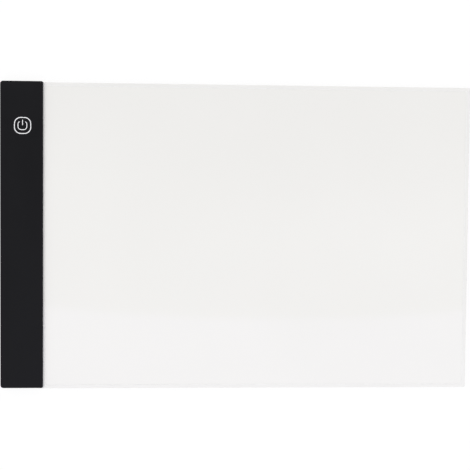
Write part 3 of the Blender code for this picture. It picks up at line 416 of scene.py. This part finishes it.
def metal_finish(name, colour, rough, brushed_along="Y", tarnish=0.2):
    """Plated sheet or wire: fine brushing, small dings and a trace of tarnish."""
    g = Graph(name)
    stretch = [40 if letter == brushed_along else 1 for letter in "XYZ"]
    brush = g.noise(0.08, detail=4.0, roughness=0.6, stretch=stretch)
    g.bump(brush, depth_mm=0.004, strength=0.4)
    g.bump(g.noise(0.9, detail=2.0), depth_mm=0.01, strength=0.15)
    stain = g.spread(g.noise(2.2, detail=5.0, roughness=0.6), 0.0, 1.0, 0.45, 0.72)
    tone = g.mix(stain, colour, scaled(colour, 1 - tarnish))
    roughness = g.maths("ADD", g.spread(brush, rough, rough + 0.1), g.maths("MULTIPLY", stain, 0.1))
    return g.finish(tone, roughness, Metallic=1.0)


def insulation_finish(name, colour):
    """Extruded wire insulation with fine draw lines."""
    g = Graph(name)
    g.bump(g.noise(0.1, detail=2.0, stretch=(1, 12, 1)), depth_mm=0.006, strength=0.4)
    tone = g.wander(g.noise(3, detail=3.0), scaled(colour, 0.85), scaled(colour, 1.1))
    return g.finish(tone, g.spread(g.noise(1.5, detail=3.0), 0.34, 0.46))


def rubber_finish():
    """Moulded rubber: matt, with dust in a fine pebble grain."""
    g = Graph("foot_rubber")
    pebble = g.cells(0.16)
    g.bump(pebble, depth_mm=0.02, strength=0.6)
    dust = g.spread(g.noise(2.4, detail=5.0, roughness=0.65), 0.0, 0.30, 0.45, 0.75)
    tone = g.mix(dust, (0.030, 0.030, 0.031), (0.12, 0.118, 0.112))
    return g.finish(tone, g.spread(pebble, 0.68, 0.85, 0.0, 0.6), Specular_IOR_Level=0.3)


def ink_finish():
    """White screen-printed ink: opaque, slightly raised, with a dry grain and a few thin places."""
    g = Graph("white_print_ink")
    g.bump(g.noise(0.09, detail=3.0, roughness=0.6), depth_mm=0.004, strength=0.5)
    thin = g.spread(g.noise(0.35, detail=3.0, roughness=0.6), 0.0, 0.16, 0.55, 0.8)
    tone = g.mix(thin, (0.91, 0.91, 0.905), (0.72, 0.72, 0.72))
    return g.finish(tone, g.spread(g.noise(1.2, detail=3.0), 0.42, 0.55), Specular_IOR_Level=0.35)


def bead_finish():
    """Cured edge adhesive: milky and smooth, with small hollows."""
    g = Graph("edge_adhesive")
    g.bump(g.noise(0.6, detail=2.0), depth_mm=0.01, strength=0.4)
    tone = g.wander(g.noise(2.5, detail=3.0), (0.90, 0.90, 0.885), (0.94, 0.94, 0.93))
    return g.finish(tone, g.spread(g.noise(4, detail=2.0), 0.22, 0.34))


ink = ink_finish()
contact_gold = metal_finish("contact_gold", (0.86, 0.62, 0.26), 0.20)
screw_steel = metal_finish("screw_black_zinc", (0.095, 0.095, 0.098), 0.30, "Z", tarnish=0.35)
FINISHES = {
    "black_plastic": moulded_plastic("black_moulded_plastic", (0.0091, 0.0092, 0.0101), (0.38, 0.47),
                                     grain_mm=0.22, depth_mm=0.018, level=0.09),
    "white_plastic": moulded_plastic("white_moulded_plastic", (0.850, 0.846, 0.808), (0.12, 0.20),
                                     grain_mm=0.30, depth_mm=0.004, level=0.45,
                                     variation=0.012, smudge_mm=24, speck_share=0.97),
    "front_sheet": front_sheet_finish(),
    "diffuser_film": film_finish("diffuser_film_frost", (0.86, 0.86, 0.86), 0.55),
    "light_guide": clear_guide_finish(),
    "reflector_film": film_finish("reflector_film_white", (0.89, 0.89, 0.89), 0.40),
    "adhesive_tape": tape_finish(),
    "strip_board": strip_board_finish(),
    "led_package": led_finish(),
    "circuit_board": circuit_board_finish(),
    "conductive_foam": foam_finish(),
    "chip_epoxy": chip_finish(),
    "capacitor_ceramic": end_capped_finish("capacitor_ceramic", "supply_capacitor",
                                           (0.45, 0.32, 0.19), glaze=0.45),
    "resistor_ceramic": end_capped_finish("resistor_ceramic", "limit_resistor_1",
                                          (0.04, 0.04, 0.05), glaze=0.22),
    "socket_steel": metal_finish("socket_steel", (0.64, 0.64, 0.62), 0.24),
    "socket_insert": moulded_plastic("socket_insert", (0.016, 0.016, 0.016), (0.42, 0.50),
                                     grain_mm=0.12, depth_mm=0.006, level=0.4),
    "red_insulation": insulation_finish("red_insulation", (0.58, 0.025, 0.025)),
    "black_insulation": insulation_finish("black_insulation", (0.018, 0.018, 0.018)),
    "screw_steel": screw_steel,
    "foot_rubber": rubber_finish(),
}
for row in frame["record"]["subparts"]:
    shown = nodes[row["node"]]
    shown.data.materials.clear()
    shown.data.materials.append(FINISHES[row["material_slot"]])

# New pieces


def piece_from(name, bm, material, slot, *replaced):
    """Makes a mesh piece that rides on the pad's one body, in the place of any CAD nodes named."""
    bmesh.ops.recalc_face_normals(bm, faces=bm.faces)
    mesh = bpy.data.meshes.new(name)
    bm.to_mesh(mesh)
    bm.free()
    mesh.materials.append(material)
    made = bpy.data.objects.new(name, mesh)
    bpy.context.scene.collection.objects.link(made)
    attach(made, "root")
    if replaced:
        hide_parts(*replaced)
    return made


def bridge(bm, first, second, closed=True):
    """Joins two rows of vertices by a band of quads, which meets itself where the rows are closed."""
    count = len(first)
    for k in range(count if closed else count - 1):
        j = (k + 1) % count
        bm.faces.new((first[k], first[j], second[j], second[k]))


def arc_points(centre, radius, start_deg, end_deg, count):
    """Points on an arc, both ends included, in millimetres."""
    angles = [math.radians(start_deg + (end_deg - start_deg) * i / (count - 1)) for i in range(count)]
    return [Vector((centre[0] + radius * math.cos(a), centre[1] + radius * math.sin(a))) for a in angles]


def path_normals(points, closed):
    """Left-hand unit normals along a path."""
    normals = []
    last = len(points) - 1
    for i in range(len(points)):
        before = points[i - 1] if closed or i > 0 else points[i]
        after = points[(i + 1) % len(points)] if closed or i < last else points[i]
        along = (after - before).normalized()
        normals.append(Vector((-along.y, along.x)))
    return normals


# Printed sign: each layer is (share of the half width, height over the bar's face in millimetres)
PRINT_LAYERS = ((1.0, -0.02), (1.0, 0.010), (0.93, 0.022), (0.78, 0.028), (0.45, 0.030))
CAP_STEPS = 10


def round_cap(middle, normal, half):
    """Points of the half circle that closes a line's open end, from its left side to its right."""
    turn = math.atan2(normal.y, normal.x)
    angles = [turn - math.pi * k / CAP_STEPS for k in range(1, CAP_STEPS)]
    return [middle + Vector((math.cos(a), math.sin(a))) * half for a in angles]


def printed_line(name, points, closed, width_mm, face_z):
    """A low line of ink along a path, with round ends where it is open."""
    bm = bmesh.new()
    normals = path_normals(points, closed)
    layers = []
    for share, height in PRINT_LAYERS:
        half = width_mm / 2 * share
        left = [p + n * half for p, n in zip(points, normals)]
        right = [p - n * half for p, n in zip(points, normals)]
        end_cap = [] if closed else round_cap(points[-1], normals[-1], half)
        start_cap = [] if closed else round_cap(points[0], -normals[0], half)
        z = face_z + mm(height)
        layers.append([[bm.verts.new((mm(p.x), mm(p.y), z)) for p in line]
                       for line in (left, end_cap, right[::-1], start_cap)])

    for low, high in zip(layers, layers[1:]):
        if closed:
            bridge(bm, low[0], high[0])
            bridge(bm, low[2], high[2])
        else:
            bridge(bm, sum(low, []), sum(high, []))
    for left, end_cap, right, start_cap in (layers[0], layers[-1]):
        bridge(bm, left, right[::-1], closed)
        if not closed:
            bm.faces.new((left[-1], *end_cap, right[0]))
            bm.faces.new((right[-1], *start_cap, left[0]))
    made = piece_from(name, bm, ink, "white_plastic")
    for face in made.data.polygons:
        face.use_smooth = True


# Power sign in millimetres: its middle from the bar's middle line and the bar's end
SIGN_SIDE_SHIFT = 0.555
SIGN_END_INSET = 22.26
# Rounded square ring round the sign's middle
RING_HALF_WIDTH = 4.05
RING_HALF_HEIGHT = 4.00
RING_CORNER = 3.15
RING_LINE = 0.425
RING_STEPS = 18
# Open arc, placed from the sign's middle: two round lower corners, and upper ends that turn inwards
ARC_SHIFT = -0.08
ARC_HALF_WIDTH = 2.20
ARC_BOTTOM = -2.10
ARC_SHOULDER = 0.58
ARC_LOWER_RADIUS = 1.62
ARC_UPPER_RADIUS = 1.58
ARC_END_TURN_DEG = 52
ARC_LINE = 0.365
ARC_STEPS = 14
ARC_END_STEPS = 12
# Upright stroke, placed from the sign's middle
STROKE_SHIFT = -0.02
STROKE_BOTTOM = 0.32
STROKE_TOP = 2.68
STROKE_LINE = 0.385
STROKE_STEPS = 6


def power_sign():
    """Touch key sign on the bar: a rounded square ring round an open arc and an upright stroke."""
    low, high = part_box("bar_top_cover")
    middle = Vector(((low.x + high.x) / 2 / MM + SIGN_SIDE_SHIFT, high.y / MM - SIGN_END_INSET))
    ring = []
    for sign_x, sign_y, start in ((1, 1, 0), (-1, 1, 90), (-1, -1, 180), (1, -1, 270)):
        across = sign_x * (RING_HALF_WIDTH - RING_CORNER)
        centre = middle + Vector((across, sign_y * (RING_HALF_HEIGHT - RING_CORNER)))
        ring += arc_points(centre, RING_CORNER, start, start + 90, RING_STEPS)
    printed_line("power_sign_ring", ring, True, RING_LINE, high.z)

    centre = middle + Vector((ARC_SHIFT, 0))
    upper = Vector((ARC_HALF_WIDTH - ARC_UPPER_RADIUS, ARC_SHOULDER))
    lower = Vector((ARC_HALF_WIDTH - ARC_LOWER_RADIUS, ARC_BOTTOM + ARC_LOWER_RADIUS))
    flip = Vector((-1, 1))
    arc = [
        *arc_points(centre + upper * flip, ARC_UPPER_RADIUS, 180 - ARC_END_TURN_DEG, 180, ARC_END_STEPS),
        *arc_points(centre + lower * flip, ARC_LOWER_RADIUS, 180, 270, ARC_STEPS),
        *arc_points(centre + lower, ARC_LOWER_RADIUS, 270, 360, ARC_STEPS),
        *arc_points(centre + upper, ARC_UPPER_RADIUS, 0, ARC_END_TURN_DEG, ARC_END_STEPS),
    ]
    printed_line("power_sign_arc", arc, False, ARC_LINE, high.z)

    rise = (STROKE_TOP - STROKE_BOTTOM) / STROKE_STEPS
    foot = middle + Vector((STROKE_SHIFT, STROKE_BOTTOM))
    stroke = [foot + Vector((0, rise * i)) for i in range(STROKE_STEPS + 1)]
    printed_line("power_sign_stroke", stroke, False, STROKE_LINE, high.z)


power_sign()

# Screws in millimetres, with heights from the face of the head; the head's outer edge is rounded by
# rings, each (inset from its radius, height)
HEAD_SIDES = 48
HEAD_EDGE = ((0.10, 0.0), (0.02, 0.04), (0.0, 0.10))
HEAD_HEIGHT = 0.55
NECK_LENGTH = 0.02
CORE_RADIUS = 0.52
# Cross recess: reach and half width of its arms at the mouth and on the floor
CROSS_REACH = 0.80
CROSS_HALF = 0.17
CROSS_FLOOR_REACH = 0.29
CROSS_FLOOR_HALF = 0.13
CROSS_DEPTH = 0.58
# Thread, which fades in and out and stops short of the tip; its half base is a share of the pitch
THREAD_PITCH = 0.50
THREAD_RISE = 0.12
THREAD_HALF_BASE = 0.25
THREAD_FADE = 0.3
THREAD_STOP = 0.5
THREAD_STEPS_PER_TURN = 8
# Tip: its shoulder's height and share of the core, then its radius
TIP_LENGTH = 0.12
TIP_SHOULDER_SHARE = 0.55
TIP_RADIUS = 0.08


def cross_outline(reach, half):
    """Twelve corners of a cross recess."""
    quarter = [(reach, -half), (reach, half), (half, half)]
    outline = []
    for turn in range(4):
        c, s = math.cos(turn * math.pi / 2), math.sin(turn * math.pi / 2)
        outline += [(x * c - y * s, x * s + y * c) for x, y in quarter]
    return outline


def thread_crest(height, angle):
    """Share of the thread's rise at a height and an angle round the screw."""
    phase = (height / THREAD_PITCH - angle / (2 * math.pi)) % 1.0
    return max(0.0, 1 - abs(phase - 0.5) / THREAD_HALF_BASE)


def detailed_screw(number, node):
    """Self-tapping screw with a cross recess and a thread, in the place of its plain solid."""
    low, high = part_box(node)
    centre_x, centre_y = (low.x + high.x) / 2, (low.y + high.y) / 2
    head_radius = (high.x - low.x) / 2 / MM
    length = (high.z - low.z) / MM
    bm = bmesh.new()

    def corner(x, y, height):
        return bm.verts.new((centre_x + mm(x), centre_y + mm(y), low.z + mm(height)))

    def ring(height, radius, rise=0.0):
        """Vertices round the screw's axis, further out by rise where the thread's crest passes."""
        made = []
        for k in range(HEAD_SIDES):
            angle = 2 * math.pi * k / HEAD_SIDES
            out = radius + rise * thread_crest(height, angle)
            made.append(corner(out * math.cos(angle), out * math.sin(angle), height))
        return made

    rings = [ring(height, head_radius - inset) for inset, height in HEAD_EDGE]
    rings.append(ring(HEAD_HEIGHT, CORE_RADIUS))
    start, end = HEAD_HEIGHT + NECK_LENGTH, length - THREAD_STOP
    steps = int((end - start) / THREAD_PITCH * THREAD_STEPS_PER_TURN)
    for step in range(steps + 1):
        height = start + (end - start) * step / steps
        fade = min(1.0, (height - start) / THREAD_FADE, (end - height) / THREAD_FADE)
        rings.append(ring(height, CORE_RADIUS, THREAD_RISE * max(0.0, fade)))
    rings.append(ring(length - TIP_LENGTH, CORE_RADIUS * TIP_SHOULDER_SHARE))
    rings.append(ring(length, TIP_RADIUS))
    for first, second in zip(rings, rings[1:]):
        bridge(bm, first, second)
    bm.faces.new(rings[-1])

    mouth = [corner(x, y, 0.0) for x, y in cross_outline(CROSS_REACH, CROSS_HALF)]
    floor = [corner(x, y, CROSS_DEPTH) for x, y in cross_outline(CROSS_FLOOR_REACH, CROSS_FLOOR_HALF)]
    bridge(bm, mouth, floor)
    bm.faces.new(floor)
    edges = [bm.edges.get((loop[k - 1], loop[k])) for loop in (rings[0], mouth) for k in range(len(loop))]
    bmesh.ops.triangle_fill(bm, use_beauty=True, edges=edges)
    piece_from(f"cross_screw_{number}", bm, screw_steel, "screw_steel", node)


for screw_number, screw_node in enumerate(numbered("bar_screw_"), 1):
    detailed_screw(screw_number, screw_node)

# Socket contacts in millimetres; CONTACT_SIDE is a strip's outline from the side, each point given
# from the tongue's tip and underside, and the underside from the tongue's middle height
CONTACT_COUNT = 5
CONTACT_PITCH = 0.65
CONTACT_HALF_WIDTH = 0.18
CONTACT_BEVEL = 0.015
CONTACT_SIDE = ((-2.6, 0.02), (-2.6, -0.06), (-0.95, -0.06), (-0.70, -0.11), (-0.45, -0.09),
                (-0.25, 0.0), (-0.25, 0.02))
TONGUE_UNDERSIDE = -0.1


def socket_contacts():
    """Five sprung contact strips on the underside of the socket's tongue, each with a rolled tip."""
    low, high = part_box("usb_tongue")
    middle_x = (low.x + high.x) / 2
    under_z = (low.z + high.z) / 2 + mm(TONGUE_UNDERSIDE)
    bm = bmesh.new()
    for index in range(CONTACT_COUNT):
        x = middle_x + mm(CONTACT_PITCH) * (index - (CONTACT_COUNT - 1) / 2)
        left, right = ([bm.verts.new((x + mm(offset), high.y + mm(y), under_z + mm(z)))
                        for y, z in CONTACT_SIDE] for offset in (-CONTACT_HALF_WIDTH, CONTACT_HALF_WIDTH))
        bridge(bm, left, right)
        bm.faces.new(left)
        bm.faces.new(right[::-1])
    bmesh.ops.recalc_face_normals(bm, faces=bm.faces)
    bmesh.ops.bevel(bm, geom=list(bm.edges), offset=mm(CONTACT_BEVEL), segments=1, affect="EDGES")
    piece_from("socket_contacts", bm, contact_gold, "socket_steel")


socket_contacts()

# Seam bead in millimetres
SEAM_GAP = 0.15
BEAD_SPARE = 0.003
BEAD_RECESS = 0.004
BEAD_DEPTH = 0.45
BEAD_CORNER = 0.8
BEAD_CORNER_POINTS = 7
BEAD_UNDER_LIP = 1.0
# Hollow of its face: the sag at the middle, and the share of it halfway to each side
BEAD_SAG = 0.006
BEAD_SHOULDER = 0.5
BEAD_SHOULDER_SAG = 2 / 3


def seam_bead():
    """Edge adhesive in the seam between the front sheet and the tray's rim, on three sides.

    The sheet's corners and the rim's have one radius, so the seam is wider along their diagonals.
    """
    low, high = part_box("front_panel")
    out = SEAM_GAP / 2
    x_start, x_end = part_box("bar_top_cover")[1].x / MM - BEAD_UNDER_LIP, high.x / MM + out
    y_low, y_high = low.y / MM - out, high.y / MM + out
    turn_x = x_end - BEAD_CORNER
    path = [
        Vector((x_start, y_low)),
        *arc_points((turn_x, y_low + BEAD_CORNER), BEAD_CORNER, 270, 360, BEAD_CORNER_POINTS),
        *arc_points((turn_x, y_high - BEAD_CORNER), BEAD_CORNER, 0, 90, BEAD_CORNER_POINTS),
        Vector((x_start, y_high)),
    ]
    top = high.z / MM - BEAD_RECESS
    foot = top - BEAD_DEPTH
    shoulder = top - BEAD_SAG * BEAD_SHOULDER_SAG
    section = [(-1, foot), (-1, top), (-BEAD_SHOULDER, shoulder), (0, top - BEAD_SAG),
               (BEAD_SHOULDER, shoulder), (1, top), (1, foot)]
    bm = bmesh.new()
    rows = []
    for point, normal in zip(path, path_normals(path, False)):
        half = out * (abs(normal.x) + abs(normal.y)) - BEAD_SPARE
        sides = [(point + normal * half * share, z) for share, z in section]
        rows.append([bm.verts.new((mm(side.x), mm(side.y), mm(z))) for side, z in sides])
    for first, second in zip(rows, rows[1:]):
        bridge(bm, first, second)
    bm.faces.new(rows[0])
    bm.faces.new(rows[-1][::-1])
    piece_from("seam_bead", bm, bead_finish(), "adhesive_tape")


seam_bead()

# Floor, light and camera

FLOOR_HALF = 6.0
FLOOR_DROP = 0.00002
FLOOR_GREY = 0.86
# Glow that the camera sees as white, and its share in the floor, which leaves room for the shadow
WHITE_GLOW = 1.03
GLOW_SHARE = 0.88


def build_floor():
    """Pale floor that the camera sees as white, with the pad's soft shadow kept on it.

    It is clear from below and to shadow rays, so that the underside is lit and seen.
    """
    bm = bmesh.new()
    turns = ((-1, -1), (1, -1), (1, 1), (-1, 1))
    bm.faces.new([bm.verts.new((x * FLOOR_HALF, y * FLOOR_HALF, -FLOOR_DROP)) for x, y in turns])
    mesh = bpy.data.meshes.new("studio_floor")
    bm.to_mesh(mesh)
    bm.free()
    floor = bpy.data.objects.new("studio_floor", mesh)
    bpy.context.scene.collection.objects.link(floor)

    material = bpy.data.materials.new("studio_floor")
    g = Nodes(material)
    matt = g.add("ShaderNodeBsdfDiffuse")
    matt.inputs["Color"].default_value = (FLOOR_GREY, FLOOR_GREY, FLOOR_GREY, 1)
    glow = g.add("ShaderNodeEmission")
    glow.inputs["Strength"].default_value = WHITE_GLOW
    rays = g.add("ShaderNodeLightPath").outputs
    seen = g.maths("MAXIMUM", rays["Is Camera Ray"], rays["Is Glossy Ray"])
    seen = g.maths("MAXIMUM", seen, rays["Is Transmission Ray"])
    top = g.either(g.maths("MULTIPLY", seen, GLOW_SHARE), matt.outputs["BSDF"], glow.outputs["Emission"])
    below = g.add("ShaderNodeNewGeometry").outputs["Backfacing"]
    open_to = g.maths("MAXIMUM", below, rays["Is Shadow Ray"])
    clear = g.add("ShaderNodeBsdfTransparent")
    output = g.add("ShaderNodeOutputMaterial")
    g.feed(output.inputs["Surface"], g.either(open_to, top, clear.outputs["BSDF"]))
    mesh.materials.append(material)


# Light of the dome, as shares of DOME_TOP by the sine of the height above the horizon
DOME_TOP = 1.445
DOME = ((0.0, 0.42), (0.35, 0.62), (0.70, 0.975), (0.88, 0.505), (0.96, 0.21), (1.0, 0.20))
# Overhead, it falls by DOME_FALL from the pad's -Y side to its +Y side, within two slopes of the
# sight line; that part fades in between two sines of the height
DOME_FALL = 0.56
DOME_FALL_SLOPES = (-0.06, 0.06)
DOME_FALL_SINES = (0.90, 0.955)
# At mid heights, it falls by SIDE_FALL from the bar's side to the far side, in the same manner
SIDE_FALL = 0.90
SIDE_FALL_SLOPES = (-0.4, 0.4)
SIDE_FALL_SINES = (0.38, 0.62)


def build_world():
    """Soft studio dome: bright round the sides, darker overhead, and white where the camera sees it."""
    world = bpy.data.worlds.new("studio")
    bpy.context.scene.world = world
    g = Nodes(world)
    split = g.add("ShaderNodeSeparateXYZ")
    g.feed(split.inputs["Vector"], g.add("ShaderNodeTexCoord").outputs["Generated"])
    along, across, up = (split.outputs[letter] for letter in "XYZ")
    level = g.add("ShaderNodeFloatCurve")
    points = level.mapping.curves[0].points
    for point, place in zip(points, (DOME[0], DOME[-1])):
        point.location = place
    for height, share in DOME[1:-1]:
        points.new(height, share)
    level.mapping.update()
    g.feed(level.inputs["Value"], up)
    dome = g.maths("MULTIPLY", level.outputs["Value"], DOME_TOP)
    fall = g.spread(across, DOME_FALL / 2, -DOME_FALL / 2, *DOME_FALL_SLOPES, "SMOOTHSTEP")
    side = g.spread(along, SIDE_FALL / 2, -SIDE_FALL / 2, *SIDE_FALL_SLOPES)
    side = g.spread(up, 0.0, side, *SIDE_FALL_SINES, "SMOOTHSTEP")
    dome = g.maths("ADD", dome, g.spread(up, side, fall, *DOME_FALL_SINES, "SMOOTHSTEP"))
    seen = g.add("ShaderNodeLightPath").outputs["Is Camera Ray"]
    glow = g.add("ShaderNodeBackground")
    glow.inputs["Color"].default_value = (1, 1, 1, 1)
    g.feed(glow.inputs["Strength"], g.spread(seen, dome, WHITE_GLOW, 0.0, 1.0))
    output = g.add("ShaderNodeOutputWorld")
    g.feed(output.inputs["Surface"], glow.outputs["Background"])


# The soft box is mirrored in the sheet as its lighter lower band, and the under light shows the
# underside to a camera below the floor
SOFT_BOX = {
    "size": (1.6, 0.9),
    "location": (0.13, -0.674, 1.5),
    "turn_deg": (0, 0, 0),
    "radiance": 0.49,
    "colour": (0.98, 0.93, 1.55),
}
UNDER_LIGHT = {
    "size": (1.2, 1.2),
    "location": (0, 0, -0.8),
    "turn_deg": (180, 0, 0),
    "radiance": 1.1,
    "colour": (1, 1, 1),
}


def area_light(name, size, location, turn_deg, radiance, colour):
    """Rectangular light that gives off a plain radiance and that the camera doesn't see."""
    data = bpy.data.lights.new(name, "AREA")
    data.shape = "RECTANGLE"
    data.size, data.size_y = size
    data.energy = radiance * math.pi * size[0] * size[1]
    data.color = colour
    lamp = bpy.data.objects.new(name, data)
    lamp.location = location
    lamp.rotation_euler = [math.radians(a) for a in turn_deg]
    lamp.visible_camera = False
    bpy.context.scene.collection.objects.link(lamp)


# Camera fitted to the pad's outline in the photo: place and clipping range in metres, turn in
# degrees, and focal length and image width in pixels
CAMERA_PLACE = (-0.043535, 0.033809, 0.627266)
CAMERA_TURN_DEG = (-3.0659, -3.8797, 0.5110)
CLIP_RANGE = (0.01, 50.0)
FOCAL_LENGTH = 1224.4
IMAGE_WIDTH = 470
SENSOR_WIDTH_MM = 36.0


def build_camera():
    """The photo's camera, almost straight above the pad."""
    data = bpy.data.cameras.new("photo_camera")
    data.sensor_width = SENSOR_WIDTH_MM
    data.lens = SENSOR_WIDTH_MM * FOCAL_LENGTH / IMAGE_WIDTH
    data.clip_start, data.clip_end = CLIP_RANGE
    camera = bpy.data.objects.new("photo_camera", data)
    camera.location = CAMERA_PLACE
    camera.rotation_euler = Euler([math.radians(a) for a in CAMERA_TURN_DEG], "XYZ")
    bpy.context.scene.collection.objects.link(camera)
    bpy.context.scene.camera = camera


build_floor()
build_world()
area_light("soft_box", **SOFT_BOX)
area_light("under_light", **UNDER_LIGHT)
build_camera()
bpy.context.scene.view_settings.view_transform = "Standard"
